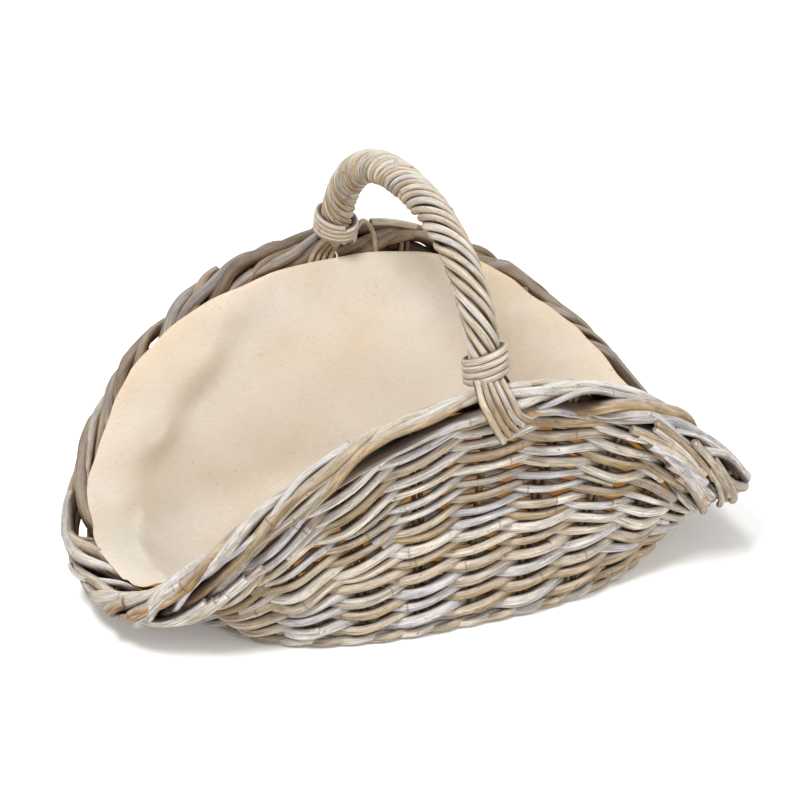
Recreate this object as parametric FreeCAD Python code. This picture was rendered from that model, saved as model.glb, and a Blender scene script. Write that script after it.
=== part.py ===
"""Wicker log basket: a boat-shaped oval basket of twined rattan rods with low open ends,
high sides, a rolled border, a fixed twisted bow handle and a loose calico liner.
Millimetres. +X runs along the length, +Y across, +Z up. The origin is on the floor, under the
middle of the base."""

import FreeCAD, Part
import math
import os

from FreeCAD import Vector

# ---- driving dimensions ----
BASE_HALF_LENGTH = 221.0
BASE_HALF_WIDTH = 146.0
BASE_CORNER = 2.7          # superellipse exponent of the base outline
RIM_HALF_LENGTH = 303.0    # to the middle of the border
RIM_HALF_WIDTH = 188.5
RIM_CORNER = 2.93
END_HEIGHT = 38.0          # middle of the border over the low ends
SIDE_HEIGHT = 245.0        # middle of the border at the handle
SADDLE_POWER = 2.3         # how the border dips from the handle to the ends
WALL_FOOT = 12.0           # height at which the stakes leave the base
WALL_BULGE = 0.05          # outward bow of the wall, as a share of its length

STAKE_PLACES = 24
STAKE_RADIUS = 3.0
STAKE_PAIR_GAP = 6.8       # centre to centre of the two stakes at one place

WEAVER_RADIUS = 4.0
WEAVER_IN_OUT = 9.8        # how far a weaver swings in front of and behind the stakes
WEAVER_TWIST = 5.2         # how far it rises and falls as the pair twists
ROW_PITCH = 15.8
FIRST_ROW_START = 1.5      # along the wall, from the foot of the stakes
ROWS_LOW = 2               # full rows at the bottom
ROWS_TOP = 2               # full rows under the border
# A short row is built where the wall is this many rows taller than at the ends.
SHORT_ROW_ORDER = (5, 1, 7, 3, 9, 0, 4, 8, 2, 6)
SHORT_ROW_SHARE = 0.7      # a short row stops where less than this share of its height is left

BORDER_RADIUS = 5.0
BORDER_IN_OUT = 8.6
BORDER_STACK = 11.0

HANDLE_HALF_WIDTH = 176.0  # of the superellipse that the bow follows
HANDLE_BASE = 227.5
HANDLE_RISE = 156.0
HANDLE_CURVE = 2.27        # superellipse exponent of the bow
HANDLE_START = 0.178       # radians round it where the bow leaves the border
CORE_RADIUS = 9.0
TONGUE_WIDTH = 14.0
TONGUE_THICKNESS = 4.0
STRANDS = 8
STRAND_RADIUS = 3.6
STRAND_RING = 13.3
STRAND_LEAD = 100.0
BAND_RADIUS = 3.2
BAND_RING = 20.5
BAND_TURNS = 4
BAND_START = 3.5           # along the bow, from its foot
STRAP_RADIUS = 3.3
CURL_RADIUS = 2.4

FOOT_RADIUS = 5.0
FOOT_FLAT = 0.6            # how much of the foot rod is worn flat
HOOP_RADIUS = 5.0
HOOP_INSET = 11.5
STICK_RADIUS = 4.0
STICK_HEIGHT = 17.0
STICK_PITCH = 50.0
BASE_WEAVER_RADIUS = 3.2
BASE_WEAVER_PITCH = 9.4
BASE_WEAVER_SWING = 8.6

LINER_GAP = 20.5           # from the stakes to the cloth
LINER_THICKNESS = 1.4
LINER_FLOOR = 30.5
LINER_TOP = 6.0            # below the middle of the border at the handle and the ends
LINER_SCALLOP = 12.0       # how much higher the cloth stands between them
TIE_RADIUS = 0.8

ALL_ROUND = 2 * math.pi
SHORT_ROWS = len(SHORT_ROW_ORDER)
ROWS = ROWS_LOW + SHORT_ROWS + ROWS_TOP


# ---- outlines and the wall ----
def superellipse(angle, half_length, half_width, power):
    c, s = math.cos(angle), math.sin(angle)
    x = half_length * math.copysign(abs(c) ** (2 / power), c)
    y = half_width * math.copysign(abs(s) ** (2 / power), s)
    return x, y


def foot_point(angle):
    x, y = superellipse(angle, BASE_HALF_LENGTH, BASE_HALF_WIDTH, BASE_CORNER)
    return Vector(x, y, WALL_FOOT)


def rim_point(angle):
    x, y = superellipse(angle, RIM_HALF_LENGTH, RIM_HALF_WIDTH, RIM_CORNER)
    rise = 1 - abs(x / RIM_HALF_LENGTH) ** SADDLE_POWER
    return Vector(x, y, END_HEIGHT + (SIDE_HEIGHT - END_HEIGHT) * rise)


def wall_curve(angle):
    """Foot, middle control and rim points of the stake line, and its length."""
    foot, rim = foot_point(angle), rim_point(angle)
    chord = rim - foot
    outward = Vector(chord.x, chord.y, 0)
    outward.normalize()
    side = Vector(0, 0, 1).cross(outward)
    bow = side.cross(chord)
    bow.normalize()
    middle = (foot + rim) * 0.5 + bow * (-2 * WALL_BULGE * chord.Length)
    return foot, middle, rim, chord.Length * (1 + 8 / 3 * WALL_BULGE**2)


def on_wall(angle, up):
    """The point of the stake line a distance up from the foot."""
    foot, middle, rim, length = wall_curve(angle)
    v = up / length
    return foot * (1 - v) ** 2 + middle * (2 * v * (1 - v)) + rim * v**2


def wall_point(angle, up, out):
    """A point up the wall and out from it, on the local normal and up the local stake."""
    step = 0.01
    p = on_wall(angle, up)
    rise = on_wall(angle, up + 1) - on_wall(angle, up - 1)
    along = on_wall(angle + step, up) - on_wall(angle - step, up)
    normal = along.cross(rise)
    normal.normalize()
    return p + normal * out


def place_table():
    """Angles of points spaced evenly round the middle of the wall, as (distance share, angle)."""
    steps = 1440
    total, table = 0.0, [(0.0, 0.0)]
    before = on_wall(0.0, wall_curve(0.0)[3] / 2)
    for i in range(1, steps + 1):
        angle = ALL_ROUND * i / steps
        here = on_wall(angle, wall_curve(angle)[3] / 2)
        total += math.hypot(here.x - before.x, here.y - before.y)
        table.append((total, angle))
        before = here
    return [(distance / total, angle) for distance, angle in table]


PLACE_TABLE = place_table()


def angle_at(place):
    """The outline angle of a stake place, from 0 at the +X end to STAKE_PLACES all the way round."""
    turns, share = divmod(place / STAKE_PLACES, 1.0)
    low, high = 0, len(PLACE_TABLE) - 1
    while high - low > 1:
        mid = (low + high) // 2
        if PLACE_TABLE[mid][0] <= share:
            low = mid
        else:
            high = mid
    (d0, a0), (d1, a1) = PLACE_TABLE[low], PLACE_TABLE[high]
    return ALL_ROUND * turns + a0 + (a1 - a0) * (share - d0) / (d1 - d0)


# ---- rods ----
def rod_path(points):
    """Straight runs joined by tangent arcs."""
    edges = []
    start = points[0]
    for before, corner, after in zip(points, points[1:], points[2:]):
        arrive, leave = corner - before, after - corner
        trim = 0.45 * min(arrive.Length, leave.Length)
        arrive.normalize()
        leave.normalize()
        half_turn = arrive.getAngle(leave) / 2
        if half_turn < 0.002:
            continue
        radius = trim / math.tan(half_turn)
        inward = leave - arrive
        inward.normalize()
        top = corner + inward * (radius / math.cos(half_turn) - radius)
        bend_start, bend_end = corner - arrive * trim, corner + leave * trim
        edges.append(Part.LineSegment(start, bend_start).toShape())
        edges.append(Part.Arc(bend_start, top, bend_end).toShape())
        start = bend_end
    edges.append(Part.LineSegment(start, points[-1]).toShape())
    return Part.Wire(edges)


def rod(points, radius):
    path = rod_path(points)
    section = Part.Face(Part.Wire(Part.Circle(points[0], points[1] - points[0], radius).toShape()))
    solid = path.makePipe(section)
    volume = path.Length * math.pi * radius**2
    if not solid.isValid() or abs(solid.Volume / volume - 1) > 0.01:
        print("rod is not sound", solid.isValid(), round(solid.Volume), round(volume))
    return solid


def ring(points, radius):
    """A closed rod, joined in the middle of its first run."""
    seam = (points[0] + points[1]) * 0.5
    return rod([seam, *points[1:], points[0], seam], radius)


def write(name, solids):
    Part.makeCompound(solids).exportStep(f"parts/{name}.step")
    print(name, len(solids), "solids")


# ---- the wall's rows ----
def row_middle(row, angle):
    """How far up the wall a row runs, and the share of its full height that it has there."""
    room = wall_curve(angle)[3] - BORDER_STACK - BORDER_RADIUS - FIRST_ROW_START
    spare = room / ROW_PITCH - ROWS_LOW - ROWS_TOP
    shares = [1.0] * ROWS
    for i, order in enumerate(SHORT_ROW_ORDER):
        shares[ROWS_LOW + i] = max(0.0, min(1.0, spare - order))
    below = sum(shares[:row]) + shares[row] / 2
    return FIRST_ROW_START + room * below / sum(shares), shares[row]


def weaver(row, side, first, last):
    """One weaver of a twined pair. side is 1 where it is in front of the even stake places."""
    points = []
    for quarter in range(int(2 * first), int(2 * last) + 1):
        place = quarter / 2
        angle = angle_at(place)
        middle, _ = row_middle(row, angle)
        out = side * WEAVER_IN_OUT * math.cos(math.pi * place)
        rise = side * WEAVER_TWIST * math.sin(math.pi * place)
        points.append(wall_point(angle, middle + rise, out))
    return points


def trimmed(points, cut):
    """The same route with a little cut off each end, so that the next rod has room."""
    first = points[1] - points[0]
    last = points[-2] - points[-1]
    first.normalize()
    last.normalize()
    return [points[0] + first * cut, *points[1:-1], points[-1] + last * cut]


END_CUT = 1.0
# Rods meet behind a stake. They are short round the ends, where the wall dips and turns.
SPLICES = {
    1: ((-1, 1, 3, 7, 9, 11, 13, 15, 19, 21, 23), (-1, 1, 3, 5, 9, 11, 13, 15, 17, 21, 23)),
    -1: ((-2, 0, 2, 4, 8, 10, 12, 14, 16, 20, 22), (-2, 0, 2, 4, 8, 10, 12, 14, 16, 20, 22)),
}


def full_row(row):
    rods = []
    for side in (1, -1):
        ends = SPLICES[side][row % 2]
        for first, last in zip(ends, ends[1:]):
            rods.append(rod(trimmed(weaver(row, side, first, last), END_CUT), WEAVER_RADIUS))
    return rods


def short_row(row, centre):
    """The rods of a short row, either side of the handle's place."""
    reach = 0
    while row_middle(row, angle_at(centre + reach + 1))[1] >= SHORT_ROW_SHARE:
        reach += 1
    rods = []
    for side in (1, -1):
        splice = centre if side == -1 else centre + (1 if row % 2 else -1)
        for first, last in ((centre - reach, splice), (splice, centre + reach)):
            if last - first >= 1:
                rods.append(rod(trimmed(weaver(row, side, first, last), END_CUT), WEAVER_RADIUS))
    return rods


def build_wall():
    for row in range(ROWS):
        if ROWS_LOW <= row < ROWS_LOW + SHORT_ROWS:
            write(f"back_row_{row + 1:02d}", short_row(row, STAKE_PLACES // 4))
            write(f"front_row_{row + 1:02d}", short_row(row, 3 * STAKE_PLACES // 4))
        else:
            write(f"wall_row_{row + 1:02d}", full_row(row))


# ---- stakes ----
def stake(place, sideways):
    angle = angle_at(place)
    length = wall_curve(angle)[3]
    along = on_wall(angle + 0.01, length / 2) - on_wall(angle - 0.01, length / 2)
    along.normalize()
    steps = 5
    route = [
        on_wall(angle, (length + BORDER_STACK) * i / steps) + along * sideways
        for i in range(steps + 1)
    ]
    return rod(route, STAKE_RADIUS)


def build_stakes():
    quarter = STAKE_PLACES // 4
    groups = {"stakes_right_end": 0, "stakes_back": 1, "stakes_left_end": 2, "stakes_front": 3}
    for name, part in groups.items():
        stakes = []
        for place in range(part * quarter - quarter // 2, part * quarter + quarter // 2):
            if place % (2 * quarter) == quarter:
                continue  # the handle's tongue takes this place
            for sideways in (-STAKE_PAIR_GAP / 2, STAKE_PAIR_GAP / 2):
                stakes.append(stake(place, sideways))
        write(name, stakes)


# ---- border ----
BORDER_SPLICES = (1, 3, 6, 9, 11, 13, 15, 18, 21, 23, 25)


def build_border():
    """Six rods laid along the rim, three outside the stakes and three inside."""
    number = 0
    for out in (BORDER_IN_OUT, -BORDER_IN_OUT):
        for stack in (-BORDER_STACK, 0, BORDER_STACK):
            rods = []
            for first, last in zip(BORDER_SPLICES, BORDER_SPLICES[1:]):
                route = []
                for half in range(2 * first, 2 * last + 1):
                    angle = angle_at(half / 2)
                    route.append(wall_point(angle, wall_curve(angle)[3] + stack, out))
                rods.append(rod(trimmed(route, END_CUT), BORDER_RADIUS))
            number += 1
            write(f"border_rod_{number}", rods)


# ---- base ----
def outline(inset, height, steps=48):
    points = []
    for i in range(steps):
        x, y = superellipse(
            ALL_ROUND * (i + 0.5) / steps,
            BASE_HALF_LENGTH - inset,
            BASE_HALF_WIDTH - inset,
            BASE_CORNER,
        )
        points.append(Vector(x, y, height))
    return points


def even_outline(inset, height, steps=32):
    """The base outline with evenly spaced points."""
    dense = outline(inset, height, 720)
    lengths = [0.0]
    for a, b in zip(dense, dense[1:] + dense[:1]):
        lengths.append(lengths[-1] + (b - a).Length)
    points, k = [], 0
    for i in range(steps):
        target = lengths[-1] * i / steps
        while lengths[k + 1] < target:
            k += 1
        points.append(dense[k])
    return points


def half_chord(across, half_length, half_width):
    """Half the outline's length at a distance from its middle line."""
    return half_length * (1 - abs(across / half_width) ** BASE_CORNER) ** (1 / BASE_CORNER)


def build_base():
    foot_height = FOOT_RADIUS - FOOT_FLAT
    foot = ring(even_outline(0, foot_height), FOOT_RADIUS)
    room = 4 * BASE_HALF_LENGTH
    above_floor = Part.makeBox(room, room, room, Vector(-room / 2, -room / 2, 0))
    write("foot_ring", [foot.common(above_floor).Solids[0]])

    write("base_hoop", [ring(even_outline(HOOP_INSET, STICK_HEIGHT), HOOP_RADIUS)])

    inside = HOOP_INSET + HOOP_RADIUS + 1
    length, width = BASE_HALF_LENGTH - inside, BASE_HALF_WIDTH - inside
    sticks, stick_xs = [], []
    count = int(length / STICK_PITCH)
    for i in range(-count, count + 1):
        x = i * STICK_PITCH
        reach = half_chord(x, width, length)
        stick_xs.append(x)
        sticks.append(
            Part.makeCylinder(STICK_RADIUS, 2 * reach, Vector(x, -reach, STICK_HEIGHT), Vector(0, 1, 0))
        )
    write("base_cross_sticks", sticks)

    weavers = []
    count = int((width - BASE_WEAVER_RADIUS) / BASE_WEAVER_PITCH)
    for j in range(-count, count + 1):
        y = j * BASE_WEAVER_PITCH
        reach = half_chord(abs(y) + BASE_WEAVER_RADIUS, length, width) - 1
        over = 1 if j % 2 else -1
        route = [Vector(-reach, y, STICK_HEIGHT)]
        for i, x in enumerate(stick_xs):
            if abs(x) < reach - BASE_WEAVER_SWING:
                swing = over * BASE_WEAVER_SWING * (1 if i % 2 else -1)
                route.append(Vector(x, y, STICK_HEIGHT + swing))
        route.append(Vector(reach, y, STICK_HEIGHT))
        weavers.append(rod(route, BASE_WEAVER_RADIUS))
    write("base_weavers", weavers)


# ---- handle ----
def bow_point(angle):
    c, s = math.cos(angle), math.sin(angle)
    y = -HANDLE_HALF_WIDTH * math.copysign(abs(c) ** (2 / HANDLE_CURVE), c)
    z = HANDLE_BASE + HANDLE_RISE * abs(s) ** (2 / HANDLE_CURVE)
    return Vector(0, y, z)


def bow_table():
    """Points along the bow with their distance from the front foot."""
    steps = 720
    table, distance = [], 0.0
    before = bow_point(HANDLE_START)
    for i in range(steps + 1):
        here = bow_point(HANDLE_START + (math.pi - 2 * HANDLE_START) * i / steps)
        distance += (here - before).Length
        table.append((distance, here))
        before = here
    return table


BOW = bow_table()
BOW_LENGTH = BOW[-1][0]


def on_bow(distance):
    """The bow's middle line and its direction at a distance from the front foot."""
    distance = max(0.0, min(BOW_LENGTH, distance))
    low, high = 0, len(BOW) - 1
    while high - low > 1:
        mid = (low + high) // 2
        if BOW[mid][0] <= distance:
            low = mid
        else:
            high = mid
    (d0, p0), (d1, p1) = BOW[low], BOW[high]
    p = p0 + (p1 - p0) * ((distance - d0) / max(d1 - d0, 1e-9))
    ahead = BOW[min(high + 4, len(BOW) - 1)][1] - BOW[max(low - 4, 0)][1]
    ahead.normalize()
    return p, ahead


def round_bow(distance, turn, ring_radius):
    """A point on a ring round the bow. turn 0 is on the bow's outer side."""
    p, ahead = on_bow(distance)
    outer = Vector(1, 0, 0).cross(ahead)
    return p + outer * (ring_radius * math.cos(turn)) + Vector(ring_radius * math.sin(turn), 0, 0)


def turned(points):
    """The same points for the other foot, half a turn round the basket."""
    return [Vector(-p.x, -p.y, p.z) for p in points]


def build_handle():
    quarter_turn = math.pi / 2
    steps = 24
    core = rod([on_bow(BOW_LENGTH * i / steps)[0] for i in range(steps + 1)], CORE_RADIUS)
    front = 3 * quarter_turn
    length = wall_curve(front)[3]
    down_wall = [on_wall(front, length * share) for share in (0.97, 0.75, 0.5, 0.25, 0.04)]
    foot, _ = on_bow(0)
    lean = foot + Vector(0, -5.5, 3)
    top = foot + Vector(0, -2.5, 18)
    for route in ([top, lean, *down_wall], turned([top, lean, *down_wall])):
        path = rod_path(route)
        start = route[0]
        ahead = route[1] - route[0]
        ahead.normalize()
        wide = Vector(TONGUE_WIDTH / 2, 0, 0)
        deep = Vector(1, 0, 0).cross(ahead) * (TONGUE_THICKNESS / 2)
        corners = [start - wide - deep, start + wide - deep, start + wide + deep, start - wide + deep]
        section = Part.Face(Part.makePolygon([*corners, corners[0]]))
        core = core.fuse(path.makePipe(section))
    write("handle_core", [core.removeSplitter().Solids[0]])

    for strand in range(STRANDS):
        count = int(8 * BOW_LENGTH / STRAND_LEAD)
        route = []
        for i in range(count + 1):
            distance = BOW_LENGTH * i / count
            turn = ALL_ROUND * (strand / STRANDS - distance / STRAND_LEAD)
            route.append(round_bow(distance, turn, STRAND_RING))
        write(f"handle_strand_{strand + 1}", [rod(route, STRAND_RADIUS)])

    band = []
    for i in range(8 * BAND_TURNS + 1):
        distance = BAND_START + 2.1 * BAND_RADIUS * i / 8
        band.append(round_bow(distance, ALL_ROUND * i / 8, BAND_RING))
    write("handle_band_front", [rod(band, BAND_RADIUS)])
    write("handle_band_back", [rod(turned(band), BAND_RADIUS)])

    build_straps()


def build_straps():
    """Strand tails that come out under the band: five slant down outside the border, four
    inside it behind the liner, and one thin one curls over it."""
    front = 3 * math.pi / 2
    rim, foot = rim_point(front), on_bow(0)[0]
    outside = BORDER_IN_OUT + BORDER_RADIUS + STRAP_RADIUS + 0.8
    pitch = 2.12 * STRAP_RADIUS
    outer = []
    for i in range(5):
        x, y = (i - 2) * pitch, rim.y - outside
        drop = 32 - 4.4 * i
        outer.append([
            Vector(x - 1, foot.y - 13, foot.z + 1),
            Vector(x + 1, y + 1.5, rim.z + 12),
            Vector(x + 8, y - 0.4, rim.z - 4),
            Vector(x + 17 - 0.7 * i, y + 3.6, rim.z - drop),
        ])
    inner = []
    for i in range(4):
        x, y = (i - 1.5) * pitch, rim.y + outside
        inner.append([
            Vector(x + 4, foot.y + 13, foot.z + 1),
            Vector(x + 12, y - 0.4, rim.z + 4),
            Vector(x + 21, y + 0.8, rim.z - 16),
            Vector(x + 24, y + 3.6, rim.z - 42),
        ])
    for name, routes in (("outer", outer), ("inner", inner)):
        write(f"handle_straps_{name}_front", [rod(r, STRAP_RADIUS) for r in routes])
        write(f"handle_straps_{name}_back", [rod(turned(r), STRAP_RADIUS) for r in routes])
    curl = [
        Vector(19, -foot.y - 4, foot.z + 5),
        Vector(30, -foot.y, foot.z + 13),
        Vector(39, -foot.y - 1, foot.z + 1),
        Vector(42.5, -foot.y - 5, foot.z - 20),
        Vector(43, -foot.y - 7, foot.z - 38),
    ]
    write("handle_curl_back", [rod(curl, CURL_RADIUS)])


# ---- liner ----
def liner_ring(share, extra):
    """A closed outline of the cloth, from 0 at the edge of the floor to 1 at its top."""
    steps = 48
    points = []
    for i in range(steps):
        angle = angle_at(STAKE_PLACES * (i + 0.5) / steps)
        top = wall_curve(angle)[3] - LINER_TOP + LINER_SCALLOP * abs(math.sin(2 * angle))
        p = wall_point(angle, share * top, -LINER_GAP - extra)
        points.append(Vector(p.x, p.y, max(p.z, LINER_FLOOR + extra)))
    curve = Part.BSplineCurve()
    curve.interpolate(points, PeriodicFlag=True)
    return Part.Wire(curve.toShape())


def floor_ring(inset, height):
    points = even_outline(inset, height, 48)
    curve = Part.BSplineCurve()
    curve.interpolate(points, PeriodicFlag=True)
    return Part.Wire(curve.toShape())


def build_liner():
    skins, tops, bottoms = [], [], []
    for extra in (0.0, LINER_THICKNESS):
        rings = [floor_ring(LINER_GAP + 12 + extra, LINER_FLOOR + extra)]
        rings += [liner_ring(share, extra) for share in (0.3, 0.55, 0.8, 1.0)]
        skins += Part.makeLoft(rings, False, False).Faces
        bottoms.append(Part.Face(rings[0]))
        tops.append(rings[-1])
    edge = Part.makeRuledSurface(tops[0], tops[1]).Faces
    shell = Part.makeShell([*skins, *bottoms, *edge])
    shell.sewShape()
    liner = Part.Solid(Part.Shell(shell.Faces))
    if liner.Volume < 0:
        liner.reverse()
    print("liner", liner.isValid(), round(liner.Volume))
    write("liner", [liner])

    back = rim_point(math.pi / 2)
    tie = [
        Vector(-1, back.y - 17, back.z + 6),
        Vector(0.5, back.y - 17.5, back.z - 1),
        Vector(-1.5, back.y - 18, back.z - 8),
        Vector(0, back.y - 18.5, back.z - 18),
    ]
    write("liner_tie", [rod(tie, TIE_RADIUS)])


os.makedirs("parts", exist_ok=True)
build_base()
build_stakes()
build_wall()
build_border()
build_handle()
build_liner()
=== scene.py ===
import math

import bpy
import numpy as np
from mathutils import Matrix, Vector


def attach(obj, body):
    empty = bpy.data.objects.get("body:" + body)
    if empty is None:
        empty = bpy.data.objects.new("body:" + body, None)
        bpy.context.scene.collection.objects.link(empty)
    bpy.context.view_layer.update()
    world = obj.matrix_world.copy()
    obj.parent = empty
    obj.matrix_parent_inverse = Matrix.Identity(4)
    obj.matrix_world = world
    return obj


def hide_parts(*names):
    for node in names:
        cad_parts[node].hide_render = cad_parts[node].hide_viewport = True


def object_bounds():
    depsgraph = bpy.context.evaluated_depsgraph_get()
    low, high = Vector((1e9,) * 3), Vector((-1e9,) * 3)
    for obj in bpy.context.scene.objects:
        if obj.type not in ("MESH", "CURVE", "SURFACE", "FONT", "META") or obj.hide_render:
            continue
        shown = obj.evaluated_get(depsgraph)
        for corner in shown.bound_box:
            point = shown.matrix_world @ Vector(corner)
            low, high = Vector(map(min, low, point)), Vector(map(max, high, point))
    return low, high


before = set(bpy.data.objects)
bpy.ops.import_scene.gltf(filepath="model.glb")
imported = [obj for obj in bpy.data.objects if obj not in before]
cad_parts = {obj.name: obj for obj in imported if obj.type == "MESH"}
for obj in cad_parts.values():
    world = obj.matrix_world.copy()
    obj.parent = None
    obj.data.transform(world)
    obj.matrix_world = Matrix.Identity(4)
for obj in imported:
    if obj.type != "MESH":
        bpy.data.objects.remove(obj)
bpy.ops.object.select_all(action="DESELECT")
cad_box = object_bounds()


# ---------------------------------------------------------------- studio
# A plain white floor, a key light over the left shoulder, a wider and weaker one from the
# right and one behind, so that every rod has a light upper side and a dark lower edge.
FLOOR_SIZE = 60
ROOM_LIGHT = 0.46
AZIMUTH, ELEVATION = math.radians(-23.8), math.radians(25.75)
VIEW_DISTANCE = 4.0826
VIEW_LEFT, VIEW_DOWN = 0.0073, 0.0306      # from the object's middle to the view's
LENS_MM, SENSOR_MM = 197.8, 36


def shade(code):
    """The linear colour of an sRGB hex value."""
    parts = [int(code[i:i + 2], 16) / 255 for i in (1, 3, 5)]
    return (*[p / 12.92 if p <= 0.04045 else ((p + 0.055) / 1.055) ** 2.4 for p in parts], 1.0)


def add_node(material, kind, inputs=None, stops=None, **settings):
    """Adds a node, with its settings, its values or links, and a ramp's colours."""
    tree = material.node_tree
    node = tree.nodes.new(kind)
    for key, value in settings.items():
        setattr(node, key, value)
    for key, value in (inputs or {}).items():
        if isinstance(value, bpy.types.NodeSocket):
            tree.links.new(value, node.inputs[key])
        else:
            node.inputs[key].default_value = value
    if stops:
        ramp = node.color_ramp
        while len(ramp.elements) < len(stops):
            ramp.elements.new(1.0)
        for element, (place, colour) in zip(ramp.elements, stops):
            element.position = place
            element.color = shade(colour)
    return node


def new_material(name):
    """An empty node material."""
    material = bpy.data.materials.new(name)
    material.use_nodes = True
    material.node_tree.nodes.clear()
    return material


scene = bpy.context.scene
scene.view_settings.view_transform = "Standard"
scene.view_settings.look = "None"
world = bpy.data.worlds.new("studio")
world.use_nodes = True
world.node_tree.nodes["Background"].inputs["Color"].default_value = (1.0, 1.0, 1.0, 1.0)
world.node_tree.nodes["Background"].inputs["Strength"].default_value = ROOM_LIGHT
scene.world = world

bpy.ops.mesh.primitive_plane_add(size=FLOOR_SIZE, location=(0, 0, 0))
floor = bpy.context.active_object
floor.name = "studio_floor"
paper = new_material("white_paper")
paper_shader = add_node(paper, "ShaderNodeBsdfPrincipled", {
    "Base Color": shade("#f9f9f8"), "Roughness": 0.9,
    "Emission Color": shade("#ffffff"), "Emission Strength": 0.16,
})
add_node(paper, "ShaderNodeOutputMaterial", {"Surface": paper_shader.outputs["BSDF"]})
floor.data.materials.append(paper)

middle = Vector([(low + high) / 2 for low, high in zip(*cad_box)])
for name, place, size, power in (
    ("key_light", (-1.5, -1.3, 2.8), 0.7, 88),
    ("fill_light", (2.2, -2.2, 1.3), 1.6, 34),
    ("back_light", (0.8, 2.6, 2.4), 1.0, 62),
):
    light = bpy.data.lights.new(name, "AREA")
    light.size = size
    light.energy = power
    lamp = bpy.data.objects.new(name, light)
    lamp.location = place
    lamp.rotation_euler = (Vector(place) - middle).to_track_quat("Z", "Y").to_euler()
    scene.collection.objects.link(lamp)

back = Vector((
    math.sin(AZIMUTH) * math.cos(ELEVATION),
    -math.cos(AZIMUTH) * math.cos(ELEVATION),
    math.sin(ELEVATION),
))
right = Vector((math.cos(AZIMUTH), math.sin(AZIMUTH), 0))
upward = back.cross(right)
lens = bpy.data.cameras.new("view")
lens.lens = LENS_MM
lens.sensor_width = SENSOR_MM
lens.clip_end = 30
camera = bpy.data.objects.new("view", lens)
camera.location = middle - right * VIEW_LEFT - upward * VIEW_DOWN + back * VIEW_DISTANCE
camera.rotation_euler = back.to_track_quat("Z", "Y").to_euler()
scene.collection.objects.link(camera)
scene.camera = camera


# ---------------------------------------------------------------- rattan
# Kubu rattan: vine soaked in mud until it greys, then washed white. It's painted lighter on top,
# where the wash sits and a painted highlight falls, and browner in the recesses, where mud lies
# and painted shade falls, with fine lengthwise grain, dark pits, and a ring scar at each knuckle,
# about 210 mm apart.
KNUCKLE_PITCH = 0.21
KNUCKLE_SWELL, KNUCKLE_WIDTH = 0.10, 0.0045
LIP, LIP_RADIUS = 0.12, 0.86               # a cut end's worn edge, as shares of the rod's radius
# how dark the cut ends are with mud, and how dark the painted shade is where a rod faces into the weave
END_MUD, RECESS_SHADE = 0.5, 0.92
ROD_SIDES = 12
luck = np.random.default_rng(7)

rattan = new_material("washed_kubu_rattan")
grain = add_node(rattan, "ShaderNodeAttribute", attribute_name="grain")
tone = add_node(rattan, "ShaderNodeAttribute", attribute_name="tone")
tone_parts = add_node(rattan, "ShaderNodeSeparateColor", {"Color": tone.outputs["Color"]})
# blotches about 35 mm long and 12 mm across
blotch_place = add_node(
    rattan, "ShaderNodeMapping", {"Vector": grain.outputs["Vector"], "Scale": (28, 80, 80)}
)
blotch = add_node(
    rattan, "ShaderNodeTexNoise",
    {"Vector": blotch_place.outputs["Vector"], "Scale": 1.0, "Detail": 3.0, "Roughness": 0.6},
)
# grain streaks about 1.8 mm wide, the finest that shows, and 45 mm long
streak_place = add_node(
    rattan, "ShaderNodeMapping", {"Vector": grain.outputs["Vector"], "Scale": (22, 560, 560)}
)
streak = add_node(
    rattan, "ShaderNodeTexNoise",
    {"Vector": streak_place.outputs["Vector"], "Scale": 1.0, "Detail": 4.0, "Roughness": 0.65},
)
# pits and mud stains, about 5 mm long and 2 mm wide
pit_place = add_node(
    rattan, "ShaderNodeMapping", {"Vector": grain.outputs["Vector"], "Scale": (190, 520, 520)}
)
pit = add_node(
    rattan, "ShaderNodeTexNoise",
    {"Vector": pit_place.outputs["Vector"], "Scale": 1.0, "Detail": 2.0, "Roughness": 0.5},
)
pit_mask = add_node(
    rattan, "ShaderNodeMapRange",
    {"Value": pit.outputs["Fac"], "From Min": 0.64, "From Max": 0.74, "To Min": 0.0, "To Max": 0.6},
)
hue = add_node(
    rattan, "ShaderNodeMapRange",
    {"Value": blotch.outputs["Fac"], "From Min": 0.3, "From Max": 0.7, "To Min": -0.16, "To Max": 0.16},
)
hue_place = add_node(
    rattan, "ShaderNodeMath",
    {0: tone_parts.outputs["Red"], 1: hue.outputs["Result"]}, operation="ADD",
)
skin = add_node(
    rattan, "ShaderNodeValToRGB", {"Fac": hue_place.outputs["Value"]},
    stops=(
        (0.0, "#c3bfc2"), (0.2, "#cfc7bd"), (0.42, "#c8b9a4"), (0.62, "#b8a283"),
        (0.8, "#a88b62"), (1.0, "#7a5a3a"),
    ),
)
light_side = add_node(
    rattan, "ShaderNodeMapRange",
    {"Value": streak.outputs["Fac"], "From Min": 0.3, "From Max": 0.7, "To Min": 0.42, "To Max": 1.24},
)
grained = add_node(
    rattan, "ShaderNodeMix",
    {"Factor": 1.0, "A": skin.outputs["Color"], "B": light_side.outputs["Result"]},
    data_type="RGBA", blend_type="MULTIPLY",
)
lightness = add_node(
    rattan, "ShaderNodeMapRange",
    {
        "Value": tone_parts.outputs["Green"], "From Min": 0.0, "From Max": 1.0,
        "To Min": 0.78, "To Max": 1.32,
    },
)
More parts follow.
